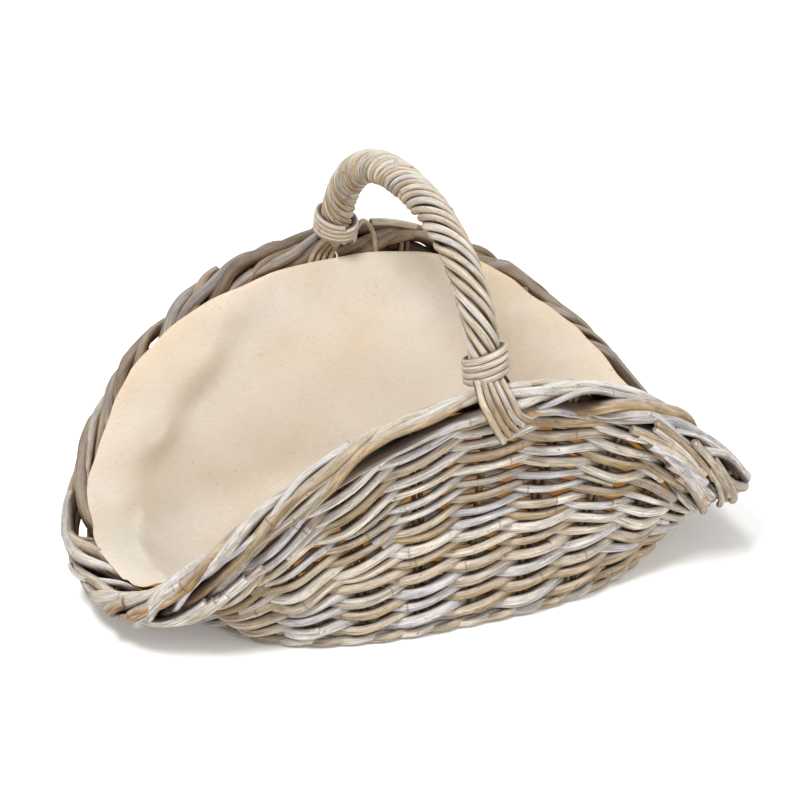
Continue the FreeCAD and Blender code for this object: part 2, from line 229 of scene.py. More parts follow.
# flakes and scrapes of the skin, 20 mm long and 2.5 mm wide, fewer where the cane is smooth
flake_place = add_node(
    rattan, "ShaderNodeMapping", {"Vector": grain.outputs["Vector"], "Scale": (48, 400, 400)}
)
flake = add_node(
    rattan, "ShaderNodeTexNoise",
    {"Vector": flake_place.outputs["Vector"], "Scale": 1.0, "Detail": 4.0, "Roughness": 0.75},
)
flake_shade = add_node(
    rattan, "ShaderNodeMapRange",
    {
        "Value": flake.outputs["Fac"], "From Min": 0.36, "From Max": 0.64,
        "To Min": -0.42, "To Max": 0.26,
    },
)
flake_share = add_node(
    rattan, "ShaderNodeMath",
    {0: flake_shade.outputs["Result"], 1: tone.outputs["Alpha"], 2: 1.0}, operation="MULTIPLY_ADD",
)
scraped = add_node(
    rattan, "ShaderNodeMath",
    {0: lightness.outputs["Result"], 1: flake_share.outputs["Value"]}, operation="MULTIPLY",
)
toned = add_node(
    rattan, "ShaderNodeMix",
    {"Factor": 1.0, "A": grained.outputs[2], "B": scraped.outputs["Value"]},
    data_type="RGBA", blend_type="MULTIPLY",
)
# lighter on what faces up: the white wash, and a painted highlight from above
facing = add_node(rattan, "ShaderNodeNewGeometry")
facing_parts = add_node(rattan, "ShaderNodeSeparateXYZ", {"Vector": facing.outputs["Normal"]})
wash_and_highlight_share = add_node(
    rattan, "ShaderNodeMapRange",
    {
        "Value": facing_parts.outputs["Z"], "From Min": -0.1, "From Max": 1.0,
        "To Min": 0.0, "To Max": 0.75,
    },
)
wash_and_highlight = add_node(
    rattan, "ShaderNodeMath",
    {0: wash_and_highlight_share.outputs["Result"], 1: flake.outputs["Fac"]}, operation="MULTIPLY",
)
washed_and_highlit = add_node(
    rattan, "ShaderNodeMix",
    {"Factor": wash_and_highlight.outputs["Value"], "A": toned.outputs[2], "B": shade("#ebe5dd")},
    data_type="RGBA",
)
# mud stays in the pits and in the ring scars; the vertex tone adds mud and painted shade in the recesses
along = add_node(rattan, "ShaderNodeSeparateXYZ", {"Vector": grain.outputs["Vector"]})
wander = add_node(
    rattan, "ShaderNodeMath", {0: pit.outputs["Fac"], 1: 0.0012, 2: along.outputs["X"]},
    operation="MULTIPLY_ADD",
)
ring_fold = add_node(
    rattan, "ShaderNodeMath", {0: wander.outputs["Value"], 1: KNUCKLE_PITCH / 2}, operation="PINGPONG"
)
ring_mask = add_node(
    rattan, "ShaderNodeMapRange",
    {
        "Value": ring_fold.outputs["Value"], "From Min": 0.0004, "From Max": 0.0014,
        "To Min": 0.45, "To Max": 0.0,
    },
)
mud_share = add_node(
    rattan, "ShaderNodeMath",
    {0: pit_mask.outputs["Result"], 1: ring_mask.outputs["Result"]}, operation="MAXIMUM",
)
mud_and_painted_shade = add_node(
    rattan, "ShaderNodeMath",
    {0: mud_share.outputs["Value"], 1: tone_parts.outputs["Blue"]}, operation="MAXIMUM",
)
skin_colour = add_node(
    rattan, "ShaderNodeMix",
    {"Factor": mud_and_painted_shade.outputs["Value"], "A": washed_and_highlit.outputs[2], "B": shade("#432b16")},
    data_type="RGBA",
)
relief = add_node(
    rattan, "ShaderNodeMath",
    {0: pit_mask.outputs["Result"], 1: -0.6, 2: flake.outputs["Fac"]}, operation="MULTIPLY_ADD",
)
bump = add_node(
    rattan, "ShaderNodeBump",
    {"Strength": 0.8, "Distance": 0.0009, "Height": relief.outputs["Value"]},
)
rough = add_node(
    rattan, "ShaderNodeMapRange",
    {"Value": streak.outputs["Fac"], "From Min": 0.3, "From Max": 0.7, "To Min": 0.85, "To Max": 0.6},
)
rattan_shader = add_node(
    rattan, "ShaderNodeBsdfPrincipled",
    {
        "Base Color": skin_colour.outputs[2], "Roughness": rough.outputs["Result"],
        "Specular IOR Level": 0.35, "Normal": bump.outputs["Normal"],
    },
)
add_node(rattan, "ShaderNodeOutputMaterial", {"Surface": rattan_shader.outputs["BSDF"]})


def unit(v):
    """The directions v, each of length one."""
    return v / np.linalg.norm(v, axis=-1, keepdims=True)


def rod(line, radius, hue, light=0.5, mud=0.0, out=None, flaky=1.0, bury=0.5):
    """One length of vine: its middle line, its radius, its dirt and painted shade and its outer side
    at each point, its colour, how flaky its skin is and how far round its painted shade reaches."""
    line = np.asarray(line, float)
    return {
        "line": line, "radius": np.broadcast_to(radius, len(line)), "out": out,
        "mud": np.broadcast_to(mud, len(line)), "hue": hue, "light": light,
        "flaky": flaky, "bury": bury,
    }


def lay_rods(name, rods, nodes):
    """Makes one piece of rods that stands for CAD nodes."""
    points, faces, grains, tones = [], [], [], []
    turn = np.arange(ROD_SIDES) / ROD_SIDES * 2 * math.pi
    for r in rods:
        line, first = r["line"], sum(len(p) for p in points)
        count = len(line)
        run = np.concatenate([[0], np.cumsum(np.linalg.norm(np.diff(line, axis=0), axis=1))])
        run += luck.uniform(0, 40)
        ahead = unit(np.gradient(line, axis=0))
        side = np.empty_like(line)
        s = np.cross(ahead[0], (0.3, 0.5, 0.81))
        for i in range(count):
            s = s - ahead[i] * s.dot(ahead[i])
            s = s / math.sqrt(s.dot(s))
            side[i] = s
        other = np.cross(ahead, side)
        phase = luck.uniform(0, 6.28, 4)
        knuckle = np.abs((run + KNUCKLE_PITCH / 2) % KNUCKLE_PITCH - KNUCKLE_PITCH / 2)
        girth = r["radius"] * (
            1 + 0.035 * np.sin(run * 63 + phase[0]) + 0.02 * np.sin(run * 170 + phase[1])
            + KNUCKLE_SWELL * np.exp(-(knuckle / KNUCKLE_WIDTH) ** 2)
        )
        oval = 1 + 0.05 * np.cos(2 * (turn[None] - phase[2] - 5 * run[:, None])) \
            + 0.02 * np.sin(3 * turn[None] + phase[3] + 30 * run[:, None])
        ring = girth[:, None] * oval
        across = np.cos(turn)[None, :, None] * side[:, None] \
            + np.sin(turn)[None, :, None] * other[:, None]
        body = line[:, None] + ring[..., None] * across
        # the cut ends, with a worn edge
        lip = r["radius"][[0, -1]] * LIP
        head = line[0] - ahead[0] * lip[0] + LIP_RADIUS * ring[0][:, None] * across[0]
        tail = line[-1] + ahead[-1] * lip[1] + LIP_RADIUS * ring[-1][:, None] * across[-1]
        rings = np.concatenate([head[None], body, tail[None]])
        points.append(rings.reshape(-1, 3))
        whole = count + 2
        index = first + np.arange(whole * ROD_SIDES).reshape(whole, ROD_SIDES)
        nxt = np.roll(index, -1, axis=1)
        quads = np.stack([index[:-1], nxt[:-1], nxt[1:], index[1:]], -1).reshape(-1, 4)
        faces += quads.tolist()
        faces.append(index[0][::-1].tolist())
        faces.append(index[-1].tolist())
        run_all = np.concatenate([run[:1], run, run[-1:]])
        flat = np.stack([
            np.broadcast_to(run_all[:, None], (whole, ROD_SIDES)),
            np.broadcast_to(np.cos(turn) * 0.005, (whole, ROD_SIDES)),
            np.broadcast_to(np.sin(turn) * 0.005, (whole, ROD_SIDES)),
        ], -1)
        grains.append(flat.reshape(-1, 3))
        # painted shade: a rod is painted darker where it faces into the weave, on top of its own dirt
        mud = np.repeat(r["mud"][:, None], ROD_SIDES, axis=1)
        if r["out"] is not None:
            facing = (across * r["out"][:, None]).sum(-1)
            mud = np.maximum(mud, RECESS_SHADE * np.clip((r["bury"] - facing) / 0.6, 0, 1))
        cut = np.full((1, ROD_SIDES), END_MUD)
        mud = np.concatenate([cut, mud, cut])
        paint = np.ones((whole, ROD_SIDES, 4))
        for channel, value in enumerate((r["hue"], r["light"], mud, r["flaky"])):
            paint[..., channel] = value
        tones.append(paint.reshape(-1, 4))
    mesh = bpy.data.meshes.new(name)
    mesh.from_pydata(np.concatenate(points).tolist(), [], faces)
    mesh.attributes.new("grain", "FLOAT_VECTOR", "POINT").data.foreach_set(
        "vector", np.concatenate(grains).ravel().astype(np.float32)
    )
    mesh.attributes.new("tone", "FLOAT_COLOR", "POINT").data.foreach_set(
        "color", np.concatenate(tones).ravel().astype(np.float32)
    )
    mesh.shade_smooth()
    mesh.materials.append(rattan)
    piece = bpy.data.objects.new(name, mesh)
    scene.collection.objects.link(piece)
    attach(piece, "root")
    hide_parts(*nodes)
    return piece


# ---------------------------------------------------------------- base
# A flat oval of thin rods woven over and under nine cross sticks, with a hoop round their
# ends. The basket stands on one thick rod pegged under its edge.
BASE_HALF = (0.221, 0.146)
BASE_CORNER = 2.7
BASE_LEVEL = 0.017
STICK_PITCH = 0.05
FOOT_LEVEL, FOOT_TURNS, FOOT_POINTS = 0.0057, 22, 700


def oval_line(inset, height, count):
    """Evenly spaced points round the base outline, closed."""
    angle = np.linspace(0, 2 * math.pi, 2881)
    c, s = np.cos(angle), np.sin(angle)
    x = (BASE_HALF[0] - inset) * np.sign(c) * np.abs(c) ** (2 / BASE_CORNER)
    y = (BASE_HALF[1] - inset) * np.sign(s) * np.abs(s) ** (2 / BASE_CORNER)
    run = np.concatenate([[0], np.cumsum(np.hypot(np.diff(x), np.diff(y)))])
    even = np.linspace(0, run[-1], count)
    return np.stack([np.interp(even, run, x), np.interp(even, run, y), np.full(count, height)], -1)


foot_line = oval_line(0, FOOT_LEVEL, FOOT_POINTS)
foot_out = unit(foot_line * (1, 1, 0))
foot_rods = []
for side in (1, -1):
    turn = np.linspace(0, 2 * math.pi * FOOT_TURNS, FOOT_POINTS)
    line = foot_line + foot_out * (side * 0.0030 * np.cos(turn))[:, None]
    line[:, 2] += 0.0008 * side * np.sin(turn)
    hue = 0.6 if side > 0 else 0.25
    foot_rods.append(rod(line, 0.0038, hue, 0.5, 0.05, unit(foot_out + (0, 0, 0.4))))
lay_rods("foot_rods", foot_rods, ["foot_ring"])
hoop = rod(oval_line(0.0115, BASE_LEVEL, 300), 0.0046, 0.6, 0.4, 0.2)
lay_rods("base_hoop_rod", [hoop], ["base_hoop"])

stick_xs = np.arange(-4, 5) * STICK_PITCH
sticks = []
for x in stick_xs:
    reach = 0.128 * (1 - abs(x / 0.208) ** BASE_CORNER) ** (1 / BASE_CORNER)
    line = np.linspace((x, -reach, BASE_LEVEL), (x, reach, BASE_LEVEL), 60)
    sticks.append(rod(line, 0.0038, luck.uniform(0.5, 0.9), 0.4, 0.15))
lay_rods("base_sticks", sticks, ["base_cross_sticks"])

base_rods = []
for j in range(-13, 14):
    y = j * 0.0094
    inside = 1 - min(1, (abs(y) + 0.003) / 0.1285) ** BASE_CORNER
    reach = 0.2035 * inside ** (1 / BASE_CORNER) - 0.001
    x = np.linspace(-reach, reach, int(reach / 0.0025))
    swing = 0.0071 * (1 if j % 2 else -1) * np.cos(math.pi * (x - stick_xs[0]) / STICK_PITCH)
    wobble = 0.0006 * np.sin(x * 40 + j * 2.1)
    line = np.stack([x, y + wobble, BASE_LEVEL + swing], -1)
    base_rods.append(rod(line, 0.0033 * luck.uniform(0.9, 1.1), luck.uniform(0.2, 0.9), 0.45, 0.1))
lay_rods("base_weave", base_rods, ["base_weavers"])


# ---------------------------------------------------------------- stakes
# Pairs of thin rods, painted dark brown as a painted shade, that rise from the base to the border at
# twenty-two places. They hardly show, only as dark bars in the gaps of the weave.
STAKE_RADIUS, STAKE_SIDEWAYS = 0.0025, 0.0032
RIM_HALF = (0.303, 0.1885)
RIM_CORNER = 2.93
RIM_LOW, RIM_HIGH = 0.038, 0.245
PLACES = 24
ROW_PITCH = 0.0158
ROWS_LOW, ROWS_TOP = 2, 2
SHORT_ROW_ORDER = (5, 1, 7, 3, 9, 0, 4, 8, 2, 6)
ROWS = ROWS_LOW + len(SHORT_ROW_ORDER) + ROWS_TOP


def rim_line(angle):
    """Where the border runs, an outline that dips towards both ends."""
    c, s = np.cos(angle), np.sin(angle)
    x = RIM_HALF[0] * np.sign(c) * np.abs(c) ** (2 / RIM_CORNER)
    y = RIM_HALF[1] * np.sign(s) * np.abs(s) ** (2 / RIM_CORNER)
    z = RIM_LOW + (RIM_HIGH - RIM_LOW) * (1 - np.abs(x / RIM_HALF[0]) ** 2.3)
    return np.stack([x, y, z], -1)


def wall_curve(angle):
    """Foot, control and rim points of the stake line, and its length."""
    c, s = np.cos(angle), np.sin(angle)
    foot = np.stack([
        BASE_HALF[0] * np.sign(c) * np.abs(c) ** (2 / BASE_CORNER),
        BASE_HALF[1] * np.sign(s) * np.abs(s) ** (2 / BASE_CORNER),
        np.full_like(c, 0.012),
    ], -1)
    rim = rim_line(angle)
    chord = rim - foot
    outward = chord * (1, 1, 0)
    side = np.cross((0, 0, 1), unit(outward))
    bow = unit(np.cross(side, chord))
    length = np.linalg.norm(chord, axis=-1)
    middle = (foot + rim) / 2 - bow * (0.1 * length)[..., None]
    return foot, middle, rim, length * (1 + 8 / 3 * 0.05 ** 2)


def on_wall(angle, up):
    """A point on the stake line, so far up it."""
    foot, middle, rim, length = wall_curve(angle)
    v = (up / length)[..., None]
    return foot * (1 - v) ** 2 + middle * 2 * v * (1 - v) + rim * v ** 2


def wall_point(angle, up, out):
    """A point up the wall, and out from it along the wall's normal."""
    angle, up, out = np.broadcast_arrays(angle, up, out)
    rise = on_wall(angle, up + 0.001) - on_wall(angle, up - 0.001)
    along_wall = on_wall(angle + 0.01, up) - on_wall(angle - 0.01, up)
    normal = unit(np.cross(along_wall, rise))
    return on_wall(angle, up) + normal * out[..., None]


table_angle = np.linspace(0, 2 * math.pi, 1441)
table_line = on_wall(table_angle, wall_curve(table_angle)[3] / 2)
table_run = np.concatenate([[0], np.cumsum(np.hypot(*np.diff(table_line[:, :2], axis=0).T))])
table_run /= table_run[-1]


def angle_at(place):
    """The outline angle of a stake place, 0 at the +X end and PLACES all the way round."""
    turns, share = np.divmod(np.asarray(place, float) / PLACES, 1.0)
    return 2 * math.pi * turns + np.interp(share, table_run, table_angle)


for name, first in (("right_end", -3), ("back", 3), ("left_end", 9), ("front", 15)):
    stakes = []
    for place in range(first, first + 6):
        if place % 12 == 6:
            continue  # the handle's tongue takes this place
        angle = np.full(60, angle_at(place))
        length = wall_curve(angle)[3]
        along_wall = unit(on_wall(angle + 0.01, length / 2) - on_wall(angle - 0.01, length / 2))
        for sideways in (-STAKE_SIDEWAYS, STAKE_SIDEWAYS):
            up = np.linspace(0, 1, 60) * (length + 0.01)
            line = wall_point(angle, up, 0.0) + along_wall * sideways
            # the stakes are painted darker, a painted shade for the gaps of the weave they show in
            stakes.append(rod(line, STAKE_RADIUS, luck.uniform(0.7, 1.0), 0.25, 0.25))
    lay_rods("stake_pairs_" + name, stakes, ["stakes_" + name])


# ---------------------------------------------------------------- woven wall
# Each row is a pair of rods twisted round each other, one in front of a stake while the
# other is behind. Two rows run all round at the foot and two under the border. The high
# sides are packed out with short rows, whose ends taper in between the others.
WEAVER_RADIUS = 0.0050
SWING = 0.0078
TWIST = 0.0044
OVERLAP = 0.33             # how long a rod stays in front, past its stake, in radians


def row_middle(row, angle):
    """How far up the wall a row runs, and the share of its full height that it has there."""
    room = wall_curve(angle)[3] - 0.0175
    spare = room / ROW_PITCH - ROWS_LOW - ROWS_TOP
    shares = np.ones((ROWS, *np.shape(angle)))
    for i, order in enumerate(SHORT_ROW_ORDER):
        full = np.clip((spare - order + 0.7) / 2.4, 0, 1)
        shares[ROWS_LOW + i] = full * full * (3 - 2 * full)
    below = shares[:row].sum(0) + shares[row] / 2
    return 0.0015 + room * below / shares.sum(0), shares[row]


def drift(places, seed, size):
    """A slow irregular wander along a rod."""
    wave = np.random.default_rng(seed)
    total = np.zeros_like(places)
    for rate in (0.9, 1.7, 2.9, 4.3):
        total += np.sin(places * rate + wave.uniform(0, 6.28)) * wave.uniform(0.3, 1)
    return total * size / 2


def weaver(row, side, first, last, seed):
    """One length of a twined rod, in front of every other stake."""
    places = np.arange(first, last, 0.045)
    angle = angle_at(places)
    up, share = row_middle(row, angle)
    turn = math.pi * places
    # the middle rows lie further apart and let the liner show through
    open_rows = math.exp(-((row - 9) / 2.6) ** 2)
    out = side * SWING * np.cos(turn - OVERLAP) + drift(places, seed, 0.0009)
    rise = side * TWIST * (1 - 0.25 * open_rows) * (0.4 + 0.6 * share) * np.sin(turn)
    rise = rise + drift(places, seed + 1, 0.0019)
    radius = (WEAVER_RADIUS - 0.0012 * open_rows) * luck.uniform(0.82, 1.14) * (0.62 + 0.38 * share)
    # painted shade: the rod is painted darker where it lies behind a stake
    mud = 0.02 + 0.4 * np.clip(-side * np.cos(turn), 0, 1)
    line = wall_point(angle, up + rise, out)
    outer = wall_point(angle, up, 0.001) - wall_point(angle, up, 0.0)
    hue = luck.choice([luck.uniform(0.0, 0.45), luck.uniform(0.4, 0.8)], p=(0.62, 0.38))
    return rod(line, radius, hue, luck.uniform(0.15, 1.0), mud, unit(outer), 1.0, 0.34)


seed = 100
for row in range(ROWS):
    short = ROWS_LOW <= row < ROWS - ROWS_TOP
    for node, centre in ((("front", 18), ("back", 6)) if short else (("wall", 0),)):
        if short:
            reach = np.arange(0, 7, 0.05)
            tall = row_middle(row, angle_at(centre + reach))[1] > 0.22
            reach = reach[tall].max()
            first, last = centre - reach, centre + reach
        else:
            first, last = 0.0, 24.0
        rods = []
        for side in (1, -1):
            start = first
            while start < last - 0.5:
                end = min(last, start + luck.uniform(4, 9))
                if last - end < 1.5:
                    end = last
                rods.append(weaver(row, side, start - 0.3, end + 0.3, seed))
                seed += 2
                start = end
        name = f"{node}_row_{row + 1:02d}"
        lay_rods(name.replace("row", "weave"), rods, [name])


# ---------------------------------------------------------------- border
# Six thick rods and three thin ones, rolled round each other along the rim, slowly on the near
# side and more tightly on the far side. Every rod is made up of three lengths whose ends lie
# loose on the outside, and the ends of stakes and weavers are laid along it at the low ends.
MAIN_RADIUS, THIN_RADIUS = 0.0059, 0.0034
STUB_RADIUS, FAN_RADIUS = 0.0042, 0.0035
ROLL_DEEP, ROLL_TALL = 0.0082, 0.0126
rim_places = np.linspace(0, 24, 2401)
rim_run = rim_line(angle_at(rim_places))
rim_run = np.concatenate([[0], np.cumsum(np.linalg.norm(np.diff(rim_run, axis=0), axis=1))])
# how much of the rim one turn of the roll takes, in metres
roll_length = np.interp(
    rim_places, (0, 2, 6, 10, 13, 15, 18, 21, 24), (0.42, 0.36, 0.30, 0.25, 0.28, 0.46, 0.56, 0.52, 0.42)
)
rim_roll = np.concatenate([[0], np.cumsum(2 * math.pi / roll_length[1:] * np.diff(rim_run))])


def border_rod(first, last, phase, radius, seed, grow):
    """One length of a border rod, from one place on the rim to another."""
    places = np.linspace(first, last, max(30, int((last - first) * 36)))
    angle = angle_at(places)
    rim = rim_line(angle)
    openness = 1 - (rim[:, 2] - RIM_LOW) / (RIM_HIGH - RIM_LOW)
    turn = phase + np.interp(places, rim_places, rim_roll) + drift(places * 0.9, seed, 0.75)
    deep = (ROLL_DEEP + drift(places * 0.9, seed + 1, 0.0016)) * grow
    tall = (ROLL_TALL + 0.0035 * openness + drift(places * 1.1, seed + 2, 0.0026)) * grow
    # an end comes loose from the roll
    loose = np.exp(-((places - first) / 0.35) ** 2) + np.exp(-((last - places) / 0.35) ** 2)
    tall = tall + 0.0022 * loose
    deep = deep + 0.0012 * loose
    line = wall_point(angle, wall_curve(angle)[3] + tall * np.sin(turn), deep * np.cos(turn))
    centre = wall_point(angle, wall_curve(angle)[3], 0.0)
    # painted shade: the rods of the far side are painted darker
    far_side_shade = np.clip(rim[:, 1] / RIM_HALF[1], 0, 1)
    mud = 0.02 + luck.uniform(0.36, 0.7) * far_side_shade
    taper = 1 - 0.25 * loose / max(1, loose.max())
    hue = luck.choice([luck.uniform(0.0, 0.4), luck.uniform(0.45, 0.85)], p=(0.3, 0.7))
    return rod(line, radius * taper, hue, luck.uniform(0.0, 0.8), mud, unit(line - centre), 1.0, 0.56)


def laid_end(angle, up, out, radius, hue, light):
    """A short end that lies along the outside of the border or wall."""
    outer = unit(wall_point(angle, up, 0.002) - wall_point(angle, up, 0.0))
    return rod(wall_point(angle, up, out), radius, hue, light, 0.03, outer)


for j in range(6):
    lengths = []
    for thin in (0, 1)[:1 + j % 2]:
        phase = 2 * math.pi * (j + 0.5 * thin) / 6
        radius = (MAIN_RADIUS, THIN_RADIUS)[thin] * luck.uniform(0.88, 1.1)
        grow = (1.0, 1.1)[thin]
        joints = np.sort(luck.uniform(2, 22, 2))
        if joints[1] - joints[0] < 5:
            joints[1] = joints[0] + 5
        stops = [luck.uniform(-0.5, -0.1), *joints, luck.uniform(24.0, 24.45)]
        for k in range(3):
            lengths.append(border_rod(
                stops[k] - 0.5 * (k > 0), stops[k + 1] + 0.5 * (k < 2),
                phase + 0.5 * (k % 2), radius, 800 + 40 * j + 20 * thin + 4 * k, grow + 0.06 * (k % 2),
            ))
    # stub ends of stakes, turned down and laid along the outside at the low ends: the place
    # where each starts, how far under the rim it lies, and how many places it passes
    for first, low, reach in (
        (19.9, 0.016, 1.4), (20.5, 0.024, 1.2), (12.6, 0.020, 1.6), (9.9, 0.018, 1.6),
    )[:4 - j % 2]:
        first = first + 0.13 * j
        angle = angle_at(np.linspace(first, first + reach * luck.uniform(0.7, 1.0), 40))
        sink = low + 0.0045 * (j - 2.5) * 0.6
        up = wall_curve(angle)[3] - sink + 0.004 * np.linspace(-1, 1, 40) * luck.uniform(-1, 1)
        out = 0.0158 + 0.0012 * (j % 2) - 0.002 * np.linspace(1, 0, 40) ** 2
        lengths.append(laid_end(
            angle, up, out, STUB_RADIUS * luck.uniform(0.8, 1.1),
            luck.uniform(0.0, 0.6), luck.uniform(0.2, 0.9),
        ))
    # thin cut ends, fanned out over the right-hand tip
    fall = np.linspace(0, 1, 30)
    stop = 21.4 + 0.23 * j + luck.uniform(-0.1, 0.1)
    angle = angle_at(stop - luck.uniform(1.0, 1.6) * (1 - fall))
    up = wall_curve(angle)[3] + luck.uniform(-0.004, 0.008) - luck.uniform(0.006, 0.014) * fall
    lengths.append(laid_end(
        angle, up, 0.0146 + 0.0022 * np.sin(math.pi * fall), FAN_RADIUS * luck.uniform(0.8, 1.2),
        luck.uniform(0.0, 0.7), luck.uniform(0.1, 0.8),
    ))
    if j == 0:
        # one end that has sprung up from the far border beside the handle
        sprung = np.linspace((0.041, 0.181, 0.2675), (0.090, 0.185, 0.2525), 30)
        sprung[:, 2] += 0.002 * np.sin(np.linspace(0, math.pi, 30))
        lengths.append(rod(sprung, 0.0034, 0.5, 0.6, 0.15))
    lay_rods(f"border_twist_{j + 1}", lengths, [f"border_rod_{j + 1}"])


# ---------------------------------------------------------------- handle
# A thick pole bent into a bow, wrapped by eight long strands. Its ends are shaved to tongues
# that go down inside the wall.
BOW_HALF = 0.176
BOW_BASE, BOW_RISE = 0.2275, 0.156
BOW_CURVE = 2.27
BOW_START = 0.178
POLE_RADIUS = 0.009
STRANDS, STRAND_RADIUS, STRAND_RING = 8, 0.0037, 0.0124
bow_angle = np.linspace(BOW_START, math.pi - BOW_START, 2001)
bow_line = np.stack([
    np.zeros(2001),
    -BOW_HALF * np.sign(np.cos(bow_angle)) * np.abs(np.cos(bow_angle)) ** (2 / BOW_CURVE),
    BOW_BASE + BOW_RISE * np.sin(bow_angle) ** (2 / BOW_CURVE),
], -1)
bow_run = np.concatenate([[0], np.cumsum(np.linalg.norm(np.diff(bow_line, axis=0), axis=1))])
BOW_LENGTH = bow_run[-1]


def on_bow(run):
    """A point so far along the bow, from its near foot."""
    return np.stack([np.interp(run, bow_run, bow_line[:, i]) for i in range(3)], -1)


def round_bow(run, turn, ring):
    """A point on a ring round the bow; turn 0 is on the bow's outer side."""
    ahead = unit(on_bow(np.minimum(run + 0.004, bow_run[-1])) - on_bow(np.maximum(run - 0.004, 0)))
    outer = np.cross((1, 0, 0), ahead)
    ring = np.broadcast_to(ring, np.shape(run))[..., None]
    return on_bow(run) + outer * ring * np.cos(turn)[..., None] \
        + np.array((1, 0, 0)) * ring * np.sin(turn)[..., None]


foot = on_bow(0.0)
core_run = np.linspace(0, BOW_LENGTH, 160)
pole = [rod(on_bow(core_run), POLE_RADIUS, 0.8, 0.3, 0.4)]
for turned in (1, -1):
    up = np.linspace(0.02, 0.97, 80)
    angle = np.full(80, 1.5 * math.pi)
    line = wall_point(angle, up * wall_curve(angle)[3], 0.0)
    line = np.concatenate([line, [foot + (0, -0.0055, 0.003), foot + (0, -0.0025, 0.018)]])
    pole.append(rod(line * (turned, turned, 1), 0.0035, 0.8, 0.3, 0.2))
lay_rods("handle_pole", pole, ["handle_core"])

# the lay is long at the near foot and tight over the top
wrap_run = np.linspace(0, BOW_LENGTH, 300)
lay_length = np.interp(
    wrap_run / BOW_LENGTH,
    (0, 0.2, 0.35, 0.45, 0.55, 0.7, 1), (0.140, 0.128, 0.106, 0.086, 0.070, 0.062, 0.078),
)
wrap_turn = -np.concatenate([[0], np.cumsum(2 * math.pi / lay_length[1:] * np.diff(wrap_run))])
pinch = 1 - 0.1 * np.exp(-(np.minimum(wrap_run, BOW_LENGTH - wrap_run) / 0.03) ** 2)
for j in range(STRANDS):
    turn = wrap_turn + 2 * math.pi * j / STRANDS + drift(wrap_run * 30, 700 + j, 0.09)
    line = round_bow(wrap_run, turn, STRAND_RING * pinch + drift(wrap_run * 60, 720 + j, 0.0003))
    # the strands are painted darker where they face into the wrap, a painted shade
    strand = rod(
        line, STRAND_RADIUS * luck.uniform(0.92, 1.06), luck.uniform(0.2, 0.72), luck.uniform(0.1, 0.6),
        0.0, unit(line - on_bow(wrap_run)), 0.8, 0.66,
    )
    lay_rods(f"handle_wrap_{j + 1}", [strand], [f"handle_strand_{j + 1}"])


# ---------------------------------------------------------------- handle bindings
# Each foot of the handle is bound with four turns of split cane, pulled tight. Below it the
# strand tails come out: five slant down over the border, four hang behind the liner.
BAND_TURNS, BAND_START, BAND_PITCH = 3.9, 0.0045, 0.0058
BAND_RING, BAND_RADIUS, BAND_TILT = 0.0186, 0.0032, 0.17
STRAP_PITCH = 0.0070
for name, turned in (("front", 1), ("back", -1)):
    run = np.linspace(0, BAND_TURNS, 260)
    band_turn = 2 * math.pi * (run + 0.6)
    band_run = BAND_START + run * BAND_PITCH
    level = round_bow(band_run, band_turn, BAND_RING)
    band_run = band_run + BAND_TILT * level[:, 0]
    band = round_bow(band_run, band_turn, BAND_RING)
    outer = unit(band - on_bow(band_run)) * (turned, turned, 1)
    bound = rod(band * (turned, turned, 1), BAND_RADIUS, 0.45, 0.4, 0.0, outer, 0.8, 0.6)
    lay_rods("handle_binding_" + name, [bound], ["handle_band_" + name])


def bend_through(points, count=60):
    """A smooth line through a few points."""
    points = np.array(points, float)
    knot = np.concatenate([[0], np.cumsum(np.linalg.norm(np.diff(points, axis=0), axis=1))])
    slope = np.gradient(points, knot, axis=0)
    at = np.linspace(0, knot[-1], count)
    i = np.clip(np.searchsorted(knot, at, side="right") - 1, 0, len(knot) - 2)
    gap = (knot[i + 1] - knot[i])[:, None]
    s = (at - knot[i])[:, None] / gap
    return (
        (2 * s ** 3 - 3 * s ** 2 + 1) * points[i] + (s ** 3 - 2 * s ** 2 + s) * gap * slope[i]
        + (3 * s ** 2 - 2 * s ** 3) * points[i + 1] + (s ** 3 - s ** 2) * gap * slope[i + 1]
    )


rim_y, rim_z = RIM_HALF[1], RIM_HIGH
for name, turned in (("front", 1), ("back", -1)):
    outer, inner = [], []
    for i in range(5):
        x, y = (i - 2) * STRAP_PITCH, -rim_y - 0.0177
        line = bend_through([
            (x * 0.8 - 0.005, foot[1] - 0.013, foot[2] + 0.008),
            (x - 0.005, y + 0.0015, rim_z + 0.012),
            (x + 0.003, y - 0.0004, rim_z - 0.006),
            (x + 0.017 - 0.0007 * i, y + 0.0036, rim_z - 0.032 + 0.0044 * i),
        ])
        outer.append(rod(
            line * (turned, turned, 1), 0.0033, luck.uniform(0.3, 0.75), luck.uniform(0.1, 0.7), 0.02,
            np.broadcast_to((0, -turned, 0.25), line.shape), 0.8, 0.62,
        ))
    for i in range(4):
        x, y = (i - 1.5) * STRAP_PITCH, -rim_y + 0.0177
        line = bend_through([
            (x + 0.003, foot[1] + 0.013, foot[2] + 0.008),
            (x + 0.012, y - 0.0006, rim_z + 0.006),
            (x + 0.018, y - 0.0012, rim_z - 0.012),
            (x + 0.021, y - 0.0016, rim_z - 0.042),
        ])
        inner.append(rod(
            line * (turned, turned, 1), 0.0029, luck.uniform(0.5, 0.9), luck.uniform(0.0, 0.5), 0.1,
            np.broadcast_to((0, turned, 0.25), line.shape), 0.8, 0.62,
        ))
    lay_rods("handle_tails_outer_" + name, outer, ["handle_straps_outer_" + name])
    lay_rods("handle_tails_inner_" + name, inner, ["handle_straps_inner_" + name])

